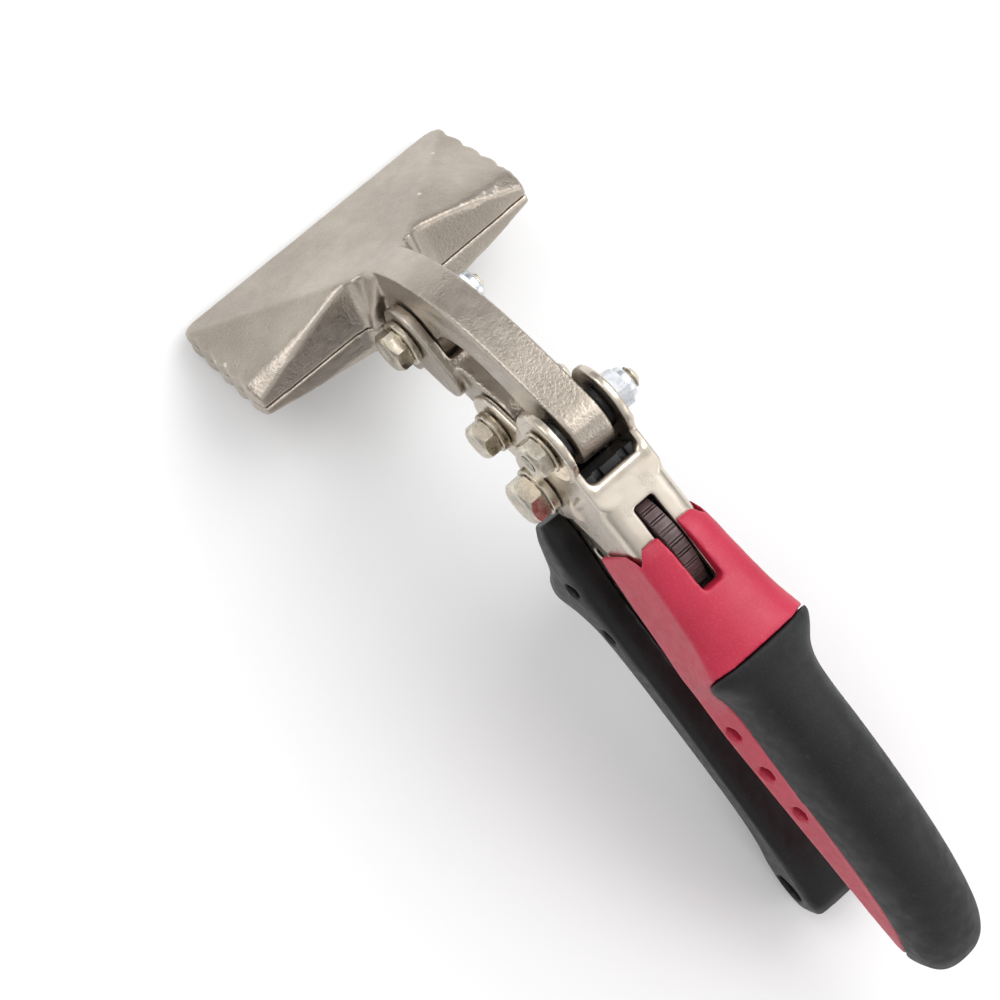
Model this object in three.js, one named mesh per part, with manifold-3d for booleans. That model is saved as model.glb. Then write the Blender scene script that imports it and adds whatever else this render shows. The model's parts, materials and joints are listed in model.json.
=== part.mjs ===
// Offset hand seamer with compound leverage, millimetres.
// Jaw frame: +X out of the mouth, +Y to the bolt-head side, +Z up, mating plane at z = 0, front edge at x = 0.
// Handle frame: the same axes turned about Y by BEND, with its origin on the arm pivot.
import * as THREE from "three";
import { mergeVertices } from "three/addons/utils/BufferGeometryUtils.js";
import { ConvexGeometry } from "three/addons/geometries/ConvexGeometry.js";
import Module from "manifold-3d";

const wasm = await Module();
wasm.setup();

// Driving dimensions
const JAW_WIDTH = 76.2; // three inches
const DEPTH_MARK = 6.35; // scallops every quarter inch
const JAW_DEPTH = 33.5;
const HALF_GAP = 0.15; // half of the clearance left between the closed jaws
const FLARE = 1.2; // how much each end of the jaw widens towards the rear
const BEND = 50; // degrees the handles drop below the jaws
const REST_TILT = 5.832; // degrees the handles are nosed up when the tool stands on jaw and heel
const JAW_PIVOT = [-47.5, 3.4]; // x, z in the jaw frame
const LINK_PIVOT = [-73.5, -7.9];
const ARM_PIVOT = [-98.8, 6.4];
const HANDLE_PIVOT = [-89.7, -13.2];
const SHANK = 2.5; // 5 mm bolts
const HOLE = 2.8; // bolt holes
const LINK_HOLE = 3.25; // the slack hole that lets the linkage close
const JAW_FLATS = 8.8;
const ARM_FLATS = 8.2;
const LINK_FLATS = 7.8;
const HANDLE_FLATS = 9.8; // the main pivot of the handles is the heaviest
const ARM_HALF = 4.5;
const CLEVIS_HALF = 7.0;
const UPPER_BRACKET_HALF = 8.5;
const UPPER_SHEET = 1.8;
const LOWER_BRACKET_HALF = 6.3;
const LOWER_SHEET = 1.5;
const WHEEL_CENTRE = [-31.3, -8.3];
const WHEEL_RADIUS = 14.5;
const WHEEL_HALF = 2;
const STRIKER = [-30, -27];
const PINS = [
  [-34.2, -37],
  [-48, -39.4],
];

const MATERIALS = {
  nickel: { color: 0xa59b8f, roughness: 0.45, metalness: 0.9 },
  sheet: { color: 0xc8beb0, roughness: 0.35, metalness: 0.9 },
  zinc: { color: 0xb5b9bf, roughness: 0.4, metalness: 0.9 },
  black_steel: { color: 0x202020, roughness: 0.5, metalness: 0.7 },
  red: { color: 0xb8203c, roughness: 0.45, metalness: 0 },
  black: { color: 0x1c1c1e, roughness: 0.5, metalness: 0 },
  rubber: { color: 0x2a2a2a, roughness: 0.8, metalness: 0 },
  plum: { color: 0x3d2c2c, roughness: 0.45, metalness: 0 },
};

// Solids
function toSolid(geometry) {
  const bare = (geometry.index ? geometry.toNonIndexed() : geometry).clone();
  bare.deleteAttribute("normal");
  bare.deleteAttribute("uv");
  const merged = mergeVertices(bare, 1e-4);
  return new wasm.Manifold(
    new wasm.Mesh({
      numProp: 3,
      vertProperties: new Float32Array(merged.attributes.position.array),
      triVerts: new Uint32Array(merged.index.array),
    }),
  );
}

function toGeometry(solid) {
  const mesh = solid.getMesh();
  const geometry = new THREE.BufferGeometry();
  geometry.setAttribute("position", new THREE.BufferAttribute(mesh.vertProperties, 3));
  geometry.setIndex(new THREE.BufferAttribute(mesh.triVerts, 1));
  return geometry;
}

function join(first, ...others) {
  return toGeometry(others.reduce((sum, g) => sum.add(toSolid(g)), toSolid(first)));
}

function cut(first, ...others) {
  return toGeometry(others.reduce((rest, g) => rest.subtract(toSolid(g)), toSolid(first)));
}

function common(first, second) {
  return toGeometry(toSolid(first).intersect(toSolid(second)));
}

// A closed x, z outline extruded across the tool from y0 to y1.
function slab(points, y0, y1) {
  const shape = new THREE.Shape(points.map(([x, z]) => new THREE.Vector2(x, z)));
  const geometry = new THREE.ExtrudeGeometry(shape, { depth: y1 - y0, bevelEnabled: false });
  return geometry.rotateX(Math.PI / 2).translate(0, y1, 0);
}

// A closed x, y outline extruded upwards from z0 to z1.
function prism(points, z0, z1) {
  const shape = new THREE.Shape(points.map(([x, y]) => new THREE.Vector2(x, y)));
  const geometry = new THREE.ExtrudeGeometry(shape, { depth: z1 - z0, bevelEnabled: false });
  return geometry.translate(0, 0, z0);
}

function block(x0, x1, y0, y1, z0, z1) {
  const geometry = new THREE.BoxGeometry(x1 - x0, y1 - y0, z1 - z0);
  return geometry.translate((x0 + x1) / 2, (y0 + y1) / 2, (z0 + z1) / 2);
}

// A round bar across the tool.
function bar([x, z], radius, y0, y1, segments = 18) {
  const geometry = new THREE.CylinderGeometry(radius, radius, y1 - y0, segments);
  return geometry.translate(x, (y0 + y1) / 2, z);
}

// A ring or stepped round body across the tool from [radius, y] pairs.
function turned([x, z], profile, segments = 18) {
  const points = profile.map(([r, y]) => new THREE.Vector2(r, y));
  return new THREE.LatheGeometry([...points, points[0]], segments).translate(x, 0, z);
}

// The smooth outline round a set of circles [x, z, radius].
function wrap(circles, steps = 28) {
  const cloud = circles.flatMap(([x, z, r]) =>
    Array.from({ length: steps }, (_, i) => {
      const angle = (2 * Math.PI * i) / steps;
      return [x + r * Math.cos(angle), z + r * Math.sin(angle)];
    }),
  );
  cloud.sort((a, b) => a[0] - b[0] || a[1] - b[1]);
  const turn = (o, a, b) => (a[0] - o[0]) * (b[1] - o[1]) - (a[1] - o[1]) * (b[0] - o[0]);
  const half = (list) => {
    const chain = [];
    for (const p of list) {
      while (chain.length > 1 && turn(chain.at(-2), chain.at(-1), p) <= 1e-6) chain.pop();
      chain.push(p);
    }
    return chain.slice(0, -1);
  };
  return [...half(cloud), ...half([...cloud].reverse())];
}

function smooth(points, count) {
  const curve = new THREE.SplineCurve(points.map(([x, z]) => new THREE.Vector2(x, z)));
  return curve.getPoints(count).map((p) => [p.x, p.y]);
}

// A body lofted through closed rings of equal length, capped at both ends.
function loft(rings) {
  const count = rings[0].length;
  const position = rings.flat(2);
  const index = [];
  for (let r = 0; r + 1 < rings.length; r += 1) {
    for (let i = 0; i < count; i += 1) {
      const a = r * count + i;
      const b = r * count + ((i + 1) % count);
      index.push(a, a + count, b, b, a + count, b + count);
    }
  }
  const last = (rings.length - 1) * count;
  for (let i = 1; i + 1 < count; i += 1) {
    index.push(0, i, i + 1, last, last + i + 1, last + i);
  }
  const geometry = new THREE.BufferGeometry();
  geometry.setAttribute("position", new THREE.Float32BufferAttribute(position, 3));
  geometry.setIndex(index);
  return geometry;
}

// One grip section at x: half width at height mid, crown at top, base half width at low.
// dome is 1 for a crease between crown and flank, and equal to crown for a full round.
function section({ x, half, base, top, mid, low }, crown, dome, foot, inset = 0, count = 28) {
  const ring = [];
  for (let i = 0; i < count; i += 1) {
    const angle = (2 * Math.PI * i) / count;
    const c = Math.cos(angle);
    const s = Math.sin(angle);
    if (s >= 0) {
      const rise = (1 - Math.abs(c) ** crown) ** (1 / dome);
      ring.push([x, c * (half - inset), mid + rise * (top - mid - inset)]);
    } else {
      const across = Math.sign(c) * Math.abs(c) ** (2 / foot);
      const down = Math.abs(s) ** (2 / foot);
      ring.push([x, across * (half + ((base ?? half) - half) * down - inset), mid - down * (mid - low - inset)]);
    }
  }
  return ring;
}

function place(group, name, material, geometry) {
  const mesh = new THREE.Mesh(geometry, new THREE.MeshStandardMaterial(MATERIALS[material]));
  mesh.name = name;

  group.add(mesh);
}

// Fasteners
function hexagon(centre, flats, y0, y1) {
  const corner = flats / Math.sqrt(3);
  const prismatic = new THREE.CylinderGeometry(corner, corner, y1 - y0, 6);
  return prismatic.translate(centre[0], (y0 + y1) / 2, centre[1]);
}

function bolt(centre, flats, headFrom, headTo, tip) {
  const corner = flats / Math.sqrt(3);
  const rounding = turned(centre, [
    [0, headFrom],
    [corner + 0.1, headFrom],
    [corner + 0.1, headTo - 0.7],
    [corner - 1, headTo],
    [0, headTo],
  ]);
  const shank = turned(centre, [
    [0, tip],
    [SHANK - 0.6, tip],
    [SHANK, tip + 0.7],
    [SHANK, headFrom + 0.5],
    [0, headFrom + 0.5],
  ]);
  return join(common(hexagon(centre, flats, headFrom, headTo), rounding), shank);
}

function washer(centre, y0, y1, radius = 6.6) {
  return turned(centre, [
    [HOLE, y0],
    [radius, y0],
    [radius, y1],
    [HOLE, y1],
  ]);
}

// A lock nut whose collar points to -Y.
function lockNut(centre, flats, y1) {
  const body = hexagon(centre, flats, y1 - 4, y1);
  const collar = turned(centre, [
    [0, y1 - 5.6],
    [flats * 0.37, y1 - 5.6],
    [flats * 0.44, y1 - 4.9],
    [flats * 0.44, y1 - 3.8],
    [0, y1 - 3.8],
  ]);
  return cut(join(body, collar), bar(centre, HOLE, y1 - 8, y1 + 1));
}

// Jaws
function scallopedOutline() {
  const half = JAW_WIDTH / 2;
  const side = [[0, half - 3.2], [-0.5, half - 1.5], [-1.6, half - 0.5]];
  for (let lobe = 0; lobe < 5; lobe += 1) {
    const from = -DEPTH_MARK * lobe;
    const to = Math.max(from - DEPTH_MARK, -JAW_DEPTH);
    for (let step = lobe ? 0 : 2; step < 5; step += 1) {
      const x = from + ((to - from) * step) / 5;
      const widen = (-x / JAW_DEPTH) * FLARE;
      side.push([x, half + widen - 0.9 + 0.9 * Math.sin((Math.PI * step) / 5)]);
    }
  }
  side.push([-JAW_DEPTH, half + FLARE - 0.9]);
  const other = side.map(([x, y]) => [x, -y]).reverse();
  const root = [[-33.9, 12.5], [-34.4, 9.4], [-36, 8.2]];
  return [...side, ...root, ...root.map(([x, y]) => [x, -y]).reverse(), ...other];
}

function blade(apexX, apexHeight, apexHalf, endHeight, sign) {
  const reach = JAW_WIDTH / 2 + 3;
  const corners = [];
  for (const side of [1, -1]) {
    corners.push([0.5, side * reach, 0], [0.5, side * reach, 2.3], [-0.01, side * reach, 2.5]);
    corners.push([-34, side * reach, 0], [-34, side * reach, 1.2], [-28.5, side * reach, endHeight]);
    corners.push([apexX, side * apexHalf, apexHeight], [-36.3, side * apexHalf, 0]);
  }
  const hull = new ConvexGeometry(
    corners.map(([x, y, z]) => new THREE.Vector3(x, y, sign * (z + HALF_GAP))),
  );
  return common(hull, prism(scallopedOutline(), sign > 0 ? -1 : -25, sign > 0 ? 25 : 1));
}

function upperJaw() {
  const top = smooth(
    [[-36.3, 16.6], [-42, 19.2], [-50, 22], [-60, 23.6], [-70, 23.4], [-80, 21.3], [-89, 18.2], [-98, 14.6]],
    22,
  );
  const end = [];
  for (let i = 1; i < 10; i += 1) {
    const angle = Math.PI / 2 + (Math.PI * i) / 10;
    end.push([ARM_PIVOT[0] + 7.3 * Math.cos(angle), ARM_PIVOT[1] + 7.3 * Math.sin(angle)]);
  }
  const under = smooth(
    [[-98, 0], [-91, 3.6], [-84, 8], [-76, 11.8], [-69, 13], [-62, 11.6], [-56.5, 6.5]],
    18,
  );
  const arm = slab([[-36.3, 8], ...top, ...end, ...under, [-50, 4], [-44, 6]], -ARM_HALF, ARM_HALF);
  const web = slab(wrap([[...JAW_PIVOT, 9], [-45, 12, 6]]), -3.9, 3.9);
  const root = slab([[-28, 0.15], [-28, 12.5], [-36.3, 16.6], [-48, 12], [-44, 0.15]], -3.9, 3.9);
  const gusset = new ConvexGeometry(
    [
      [-36.2, 6.5, 16.2], [-36.2, -6.5, 16.2], [-36.2, 9, 0.15], [-36.2, -9, 0.15],
      [-40.5, 4.6, 17], [-40.5, -4.6, 17], [-37.2, 6, 0.6], [-37.2, -6, 0.6],
      [-35.5, 9, 0.15], [-35.5, -9, 0.15], [-35.5, 6, 15.5], [-35.5, -6, 15.5],
    ].map(([x, y, z]) => new THREE.Vector3(x, y, z)),
  );
  const body = join(blade(-36.3, 16.2, 6.5, 4, 1), arm, web, root, gusset);
  const faces = [bar(JAW_PIVOT, 10.4, 3.9, 12, 40), bar(JAW_PIVOT, 10.4, -12, -3.9, 40)];
  return cut(body, ...faces, bar(JAW_PIVOT, HOLE, -20, 20), bar(ARM_PIVOT, HOLE, -20, 20));
}

function lowerJaw() {
  const cheek = slab(wrap([[...JAW_PIVOT, 7.9], [-58, -2.6, 5]]), -CLEVIS_HALF, CLEVIS_HALF);
  const root = slab([[-30, -0.15], [-37.6, -0.15], [-42, -3], [-50, -4], [-46, -8.5], [-36, -9.6], [-30, -8]],
    -CLEVIS_HALF, CLEVIS_HALF);
  const tail = slab(wrap([[-60, -4, 5.6], [...LINK_PIVOT, 7.3]]), -ARM_HALF, ARM_HALF);
  const relief = bar(JAW_PIVOT, 9.5, -4.2, 4.2, 40);
  const mouth = block(-60, -36.6, -4.2, 4.2, -0.2, 20);
  const body = cut(join(blade(-33, 9, 8, 3, -1), cheek, root), relief, common(mouth, bar(JAW_PIVOT, 12, -5, 5, 40)));
  const nose = slab([[-3.05, -5.046], [1.971, -0.168], [5.769, -4.077], [0.748, -8.955]], -31.5, 31.5); // the nose is relieved between its two ends
  return cut(join(body, tail), relief, nose, bar(JAW_PIVOT, HOLE, -20, 20), bar(LINK_PIVOT, LINK_HOLE, -20, 20));
}

// Handle-frame positions of the pivots
const bend = THREE.MathUtils.degToRad(BEND);
function inHandleFrame([x, z]) {
  const dx = x - ARM_PIVOT[0];
  const dz = z - ARM_PIVOT[1];
  return [
    dx * Math.cos(bend) + dz * Math.sin(bend),
    -dx * Math.sin(bend) + dz * Math.cos(bend),
  ];
}
const ORIGIN = [0, 0];
const HINGE = inHandleFrame(HANDLE_PIVOT);
const LINK = inHandleFrame(LINK_PIVOT);

// Brackets
function upperBracket() {
  const outer = UPPER_BRACKET_HALF;
  const inner = outer - UPPER_SHEET;
  const ears = [[0, 0, 8.8], [...HINGE, 9.3]];
  const cheek = join(
    slab(wrap(ears), -outer, outer),
    slab([[-6, 4.4], [-60, 4.4], [-60, -7], [-42, -12.8], [-28, -12.8], [-16, -20], [-4, -10]], -outer, outer),
  );
  const hollow = block(-62, 12, -inner, inner, -40, 4.4 - UPPER_SHEET);
  const window = block(-12.5, 12, -inner, inner, 0, 12);
  const slot = block(-42.4, -20.3, -2.65, 2.65, 0, 6);
  return cut(
    cheek,
    hollow,
    window,
    slot,
    bar(ORIGIN, HOLE, -20, 20),
    bar(HINGE, HOLE, -20, 20),
    bar(WHEEL_CENTRE, 2.3, -20, 20),
  );
}

function lowerBracket() {
  const outer = LOWER_BRACKET_HALF;
  const inner = outer - LOWER_SHEET;
  const tang = [[-15, -12.6], [-28, -19.5], [-45, -33.5], [-60, -37], [-60, -43], [-32, -43], [-22, -37], [-8, -26]];
  const plates = join(slab(wrap([[...LINK, 8], [...HINGE, 8.3]]), -outer, outer), slab(tang, -outer, outer));
  const hollow = slab(
    [[20, 0], [-62, 0], [-62, -41.5], [-32, -41.5], [-24, -37], [-20, -33], [-14, -50], [20, -50]],
    -inner,
    inner,
  );
  const holes = [LINK, HINGE].map((p) => bar(p, HOLE, -20, 20));
  const small = [...PINS, STRIKER].map((p) => bar(p, 2.1, -20, 20, 12));
  return cut(plates, hollow, ...holes, ...small);
}

// Upper grip: a red shell moulded on the bracket, with a soft black skin over the palm side.
const UPPER_STATIONS = [
  { x: -27.6, half: 8.8, base: 11, top: 6.4, mid: 3, low: -14.6 },
  { x: -31, half: 9.4, base: 11.3, top: 8.2, mid: 4.2, low: -15 },
  { x: -37, half: 9.8, base: 11.7, top: 9, mid: 5, low: -15.4 },
  { x: -44, half: 10.4, base: 12, top: 9.8, mid: 5.6, low: -16 },
  { x: -51, half: 11.2, base: 12.3, top: 11, mid: 6.2, low: -16.4 },
  { x: -57, half: 12.5, base: 12.6, top: 12, mid: 6.2, low: -16.8 },
  { x: -59.5, half: 13, base: 12.6, top: 12, mid: 5.6, low: -17 },
  { x: -62, half: 12.2, base: 12.6, top: 11.3, mid: 3.6, low: -17.1 },
  { x: -65.5, half: 10.5, base: 12.7, top: 10, mid: 0, low: -17.4 },
  { x: -70, half: 9.7, base: 12.8, top: 9.4, mid: -4, low: -17.6 },
  { x: -77, half: 9.6, base: 12.8, top: 9.2, mid: -6.5, low: -17.9 },
  { x: -87, half: 9.8, base: 12.4, top: 8.8, mid: -8, low: -18.3 },
  { x: -99, half: 9.8, base: 12, top: 7.6, mid: -9, low: -18.8 },
  { x: -112, half: 9.8, base: 11.4, top: 5, mid: -11, low: -19.6 },
  { x: -124, half: 9.6, base: 10.8, top: 1.4, mid: -13.5, low: -20.8 },
  { x: -134, half: 9.2, base: 10, top: -3.4, mid: -16, low: -22.8 },
  { x: -141, half: 8.6, base: 9, top: -8, mid: -18.3, low: -25 },
  { x: -146, half: 7.2, base: 7.2, top: -12.2, mid: -20, low: -26 },
  { x: -149.3, half: 4.5, base: 4.5, top: -16.6, mid: -21, low: -25 },
];

// The palm region in x, z; drop lowers its edge so that skin and shell keep a seam.
function palmRegion(drop) {
  const edge = smooth(
    [[-57.3, 30], [-57.6, 12], [-59.3, 3.5], [-63, -1.5], [-69, -4.8], [-81, -6.6], [-98, -7],
     [-113, -8.4], [-125, -11.4], [-135, -16.4], [-142.5, -24], [-144, -32]],
    26,
  );
  return slab([...edge.map(([x, z]) => [x + drop, z - drop]), [-160, -30], [-160, 30]], -20, 20);
}

function upperBody(inset) {
  return loft(
    UPPER_STATIONS.map((s) => {
      const front = Math.min(1, Math.max(0, (s.x + 64) / 9));
      const room = Math.min(inset, s.half - 1.5, s.mid - s.low - 1, s.top - s.mid - 1);
      return section(s, 2.4, 2.3 - 1.1 * front, 9, room);
    }),
  );
}

function upperGripShell() {
  const skinned = cut(upperBody(0), palmRegion(0.15));
  const core = cut(upperBody(2.9), block(-160, -144.6, -20, 20, -40, 20));
  const pocket = slab([[-18, 4.75], [-61, 4.75], [-61, -7.5], [-54, -30], [-18, -30]], -8.8, 8.8);
  const slot = block(-42.1, -20, -2.7, 2.7, 0, 20);
  const fingerHoles = [-75, -86.5, -98].map((x) => bar([x, -12.6], 2, -20, 20, 12));
  return cut(join(skinned, core), pocket, slot, ...fingerHoles);
}

function upperGripPad() {
  const skin = common(upperBody(0), palmRegion(-0.15));
  const core = cut(upperBody(2.6), block(-160, -144.9, -20, 20, -40, 20));
  return cut(skin, core, block(-58, -50, -20, 20, -40, -20));
}

// Lower grip
const LOWER_STATIONS = [
  { x: -17.6, half: 12, top: -29.4, mid: -33.6, low: -37.5 },
  { x: -20.5, half: 13, top: -28.8, mid: -34.5, low: -40.5 },
  { x: -24, half: 13.6, top: -28.8, mid: -35, low: -44 },
  { x: -29, half: 13.9, top: -30, mid: -38, low: -50 },
  { x: -32.5, half: 14, top: -31, mid: -43, low: -58 },
  { x: -36.5, half: 14, top: -32.4, mid: -46, low: -61 },
  { x: -41, half: 13.6, top: -33.2, mid: -42, low: -57 },
  { x: -47, half: 13.4, top: -34, mid: -40, low: -51.5 },
  { x: -58, half: 13.3, top: -35, mid: -40, low: -50 },
  { x: -72, half: 13.3, top: -36.5, mid: -41, low: -50.5 },
  { x: -88, half: 13.3, top: -39, mid: -43, low: -51.5 },
  { x: -101, half: 13.3, top: -41, mid: -45.5, low: -53 },
  { x: -110, half: 13.3, top: -42.8, mid: -48.5, low: -56.5 },
  { x: -117, half: 13.3, top: -44.2, mid: -53, low: -61 },
  { x: -125, half: 13.3, top: -46.4, mid: -56, low: -63 },
  { x: -130.5, half: 13, top: -48.4, mid: -56, low: -61.5 },
  { x: -133, half: 12, top: -50.4, mid: -55.5, low: -59 },
];
const HANG_HOLE = [-124.5, -55];

function lowerBody(inset) {
  return loft(LOWER_STATIONS.map((s) => section(s, 7, 7, 3, Math.min(inset, s.mid - s.low - 1, s.top - s.mid - 1))));
}

function lowerGripShell() {
  const pocket = slab([[-8, -20], [-62, -20], [-62, -43.4], [-31.6, -43.4], [-21, -38.2], [-8, -38.2]], -6.6, 6.6);
  const recess = block(-103, -62.5, -9.3, 9.3, -70, -47.3);
  const hang = slab(wrap([[HANG_HOLE[0] - 0.8, HANG_HOLE[1], 3.2], [HANG_HOLE[0] + 0.8, HANG_HOLE[1], 3.2]], 20), -20, 20);
  const bores = PINS.map((p) => bar(p, 2.1, -20, 20, 12));
  const flanks = [1, -1].map((side) => block(-140, -58, Math.min(side * 13, side * 20), Math.max(side * 13, side * 20), -80, -20));
  return cut(lowerBody(0), pocket, recess, hang, ...bores, ...flanks);
}

function lowerGripPad() {
  return common(lowerBody(-0.25), block(-102.7, -62.8, -9, 9, -70, -47.6));
}

// Latch
function thumbWheel() {
  const ridges = 30;
  const rim = [];
  for (let i = 0; i < ridges; i += 1) {
    for (const [share, radius] of [[0.05, 0], [0.6, 0], [0.72, 0.9], [0.93, 0.9]]) {
      const angle = (2 * Math.PI * (i + share)) / ridges;
      const r = WHEEL_RADIUS - radius;
      rim.push([WHEEL_CENTRE[0] + r * Math.cos(angle), WHEEL_CENTRE[1] + r * Math.sin(angle)]);
    }
  }
  const disc = slab(rim, -WHEEL_HALF, WHEEL_HALF);
  const dish = turned(WHEEL_CENTRE, [[5.5, -3], [11.3, -3], [11.3, -1.1], [5.5, -1.1]]);
  return cut(disc, bar(WHEEL_CENTRE, 2.3, -5, 5), dish);
}

function latchHook() {
  const at = (radius, degrees) => {
    const angle = THREE.MathUtils.degToRad(degrees);
    return [WHEEL_CENTRE[0] + radius * Math.cos(angle), WHEEL_CENTRE[1] + radius * Math.sin(angle)];
  };
  const outside = [-134, -128, -122, -116, -110, -103, -96].map((a) => at(23.4, a));
  const inside = [-94, -100, -106, -112].map((a) => at(21.2, a));
  const arm = slab([at(3.5, -190), ...outside, at(22.4, -93), ...inside, at(17, -121), at(3.5, -60)], 2.3, 4);
  return cut(join(arm, bar(WHEEL_CENTRE, 5.2, 2.3, 4)), bar(WHEEL_CENTRE, 2.3, 0, 8));
}

// A moulded frame inside the bracket that keeps dirt off the wheel and carries its spacers.
function latchCradle() {
  const frame = cut(block(-48.2, -9.6, -6.5, 6.5, -8, 2.35), block(-46.5, -12.2, -3.2, 4.85, -10, 5));
  return cut(frame, bar(WHEEL_CENTRE, 4.6, -8, 8));
}

// A torsion spring wound round the handle bolt, one leg up to the upper bracket, one back into the lower.
function returnSpring() {
  const radius = 5.5;
  const points = [[-17.2, 3.9, 1.2], [-16.7, 3.9, -8]];
  const turns = 4;
  const from = Math.PI;
  for (let i = 0; i <= turns * 14 + 5; i += 1) {
    const angle = from + (2 * Math.PI * i) / 14;
    points.push([HINGE[0] + radius * Math.cos(angle), 3.9 - (i / (turns * 14 + 5)) * 7.8, HINGE[1] + radius * Math.sin(angle)]);
  }
  points.push([-20, -3.9, -31.6], [-23.2, -3.9, -34.9]);
  const path = new THREE.CatmullRomCurve3(points.map((p) => new THREE.Vector3(...p)), false, "centripetal");
  const wire = new THREE.Shape();
  wire.absarc(0, 0, 0.75, 0, 2 * Math.PI);
  return new THREE.ExtrudeGeometry(wire, { steps: 84, curveSegments: 3, extrudePath: path, bevelEnabled: false });
}

// Assembly
const group = new THREE.Group();
const jaws = new THREE.Group();
const handles = new THREE.Group();
const tool = new THREE.Group();
handles.position.set(ARM_PIVOT[0], 0, ARM_PIVOT[1]);
handles.rotation.y = -bend;
jaws.add(handles);
tool.add(jaws);
tool.rotation.y = bend - THREE.MathUtils.degToRad(REST_TILT);
group.add(tool);

place(jaws, "upper_jaw", "nickel", upperJaw());
place(jaws, "lower_jaw", "nickel", lowerJaw());
place(jaws, "jaw_bolt", "nickel", bolt(JAW_PIVOT, JAW_FLATS, 9.1, 12.6, -14));
place(jaws, "jaw_washer", "nickel", washer(JAW_PIVOT, 7.3, 8.8, 5.6));
place(jaws, "jaw_nut", "zinc", lockNut(JAW_PIVOT, JAW_FLATS, -7.3));

place(handles, "arm_bolt", "nickel", bolt(ORIGIN, ARM_FLATS, 9.8, 13, -16.2));
place(handles, "arm_washer", "nickel", washer(ORIGIN, 8.8, 9.5, 5.1));
place(handles, "arm_nut", "zinc", lockNut(ORIGIN, ARM_FLATS, -8.8));
place(handles, "arm_spacer_left", "black_steel", washer(ORIGIN, 4.8, 6.4, 5.4));
place(handles, "arm_spacer_right", "black_steel", washer(ORIGIN, -6.4, -4.8, 5.4));
place(handles, "handle_bolt", "nickel", bolt(HINGE, HANDLE_FLATS, 11.1, 15.2, -16));
place(handles, "handle_washer", "nickel", washer(HINGE, 8.8, 10.8, 6));
place(handles, "handle_nut", "zinc", lockNut(HINGE, HANDLE_FLATS, -8.8));
place(handles, "spring_bush", "black_steel", washer(HINGE, -4.5, 4.5, 4.2));
place(handles, "link_bolt", "nickel", bolt(LINK, LINK_FLATS, 8.9, 12.4, -13.4));
place(handles, "link_washer", "nickel", washer(LINK, 6.6, 8.6, 4.9));
place(handles, "link_nut", "zinc", lockNut(LINK, LINK_FLATS, -6.6));
place(handles, "upper_bracket", "sheet", upperBracket());
place(handles, "lower_bracket", "sheet", lowerBracket());
place(handles, "upper_grip_shell", "red", upperGripShell());
place(handles, "upper_grip_pad", "rubber", upperGripPad());
place(handles, "lower_grip_shell", "black", lowerGripShell());
place(handles, "lower_grip_pad", "rubber", lowerGripPad());
place(handles, "lower_grip_pin_front", "black_steel", bar(PINS[0], 1.8, -11, 11, 12));
place(handles, "lower_grip_pin_rear", "black_steel", bar(PINS[1], 1.8, -11, 11, 12));
place(handles, "thumb_wheel", "plum", thumbWheel());
place(handles, "wheel_pin", "black_steel", bar(WHEEL_CENTRE, 2, -8.4, 8.4, 16));
place(handles, "wheel_spacer_left", "black_steel", turned(WHEEL_CENTRE, [[2.3, 4.3], [4.2, 4.3], [4.2, 6.4], [2.3, 6.4]]));
place(handles, "wheel_spacer_right", "black_steel", turned(WHEEL_CENTRE, [[2.3, -6.4], [4.2, -6.4], [4.2, -2.3], [2.3, -2.3]]));
place(handles, "latch_hook", "black_steel", latchHook());
place(handles, "latch_cradle", "black", latchCradle());
place(handles, "latch_striker", "zinc", bar(STRIKER, 1.8, -6.2, 6.2, 12));
place(handles, "return_spring", "black_steel", returnSpring());

// The tool stands on z = 0 with its box centred on the origin.
group.updateMatrixWorld(true);
const bounds = new THREE.Box3().setFromObject(group, true);
tool.position.set(-(bounds.min.x + bounds.max.x) / 2, -(bounds.min.y + bounds.max.y) / 2, -bounds.min.z);
group.updateMatrixWorld(true);

export default group;
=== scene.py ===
import json
import math

import bmesh
import bpy
from mathutils import Matrix, Vector

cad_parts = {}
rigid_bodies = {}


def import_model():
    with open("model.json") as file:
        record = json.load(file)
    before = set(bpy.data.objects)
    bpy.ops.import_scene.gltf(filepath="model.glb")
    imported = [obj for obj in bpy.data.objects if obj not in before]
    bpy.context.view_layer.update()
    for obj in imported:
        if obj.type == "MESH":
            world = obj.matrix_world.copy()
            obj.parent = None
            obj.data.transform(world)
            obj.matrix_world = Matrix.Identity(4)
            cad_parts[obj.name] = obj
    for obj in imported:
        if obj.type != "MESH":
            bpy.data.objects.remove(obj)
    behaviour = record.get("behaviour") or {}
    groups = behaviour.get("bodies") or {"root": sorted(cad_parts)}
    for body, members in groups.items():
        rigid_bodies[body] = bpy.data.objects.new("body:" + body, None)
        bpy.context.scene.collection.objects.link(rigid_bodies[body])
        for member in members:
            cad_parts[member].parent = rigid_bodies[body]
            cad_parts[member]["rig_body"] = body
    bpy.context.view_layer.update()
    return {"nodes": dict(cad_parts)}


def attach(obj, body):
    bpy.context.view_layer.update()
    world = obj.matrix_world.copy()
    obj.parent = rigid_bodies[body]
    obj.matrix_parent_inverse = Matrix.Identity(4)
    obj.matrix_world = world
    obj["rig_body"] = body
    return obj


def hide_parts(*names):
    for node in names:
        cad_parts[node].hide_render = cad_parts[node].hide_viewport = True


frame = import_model()
print("frame loaded,", len(frame["nodes"]), "nodes")


# Where the jaws and the handles lie. Both are modelled in millimetres: X forwards, Y to the bolt heads, Z up
def localFrame(degrees, x, z):
    angle = math.radians(degrees)
    turn = Matrix.Rotation(angle, 4, "Y")
    return Matrix.Scale(0.001, 4) @ Matrix.Translation((x, 0, z)) @ turn


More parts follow.
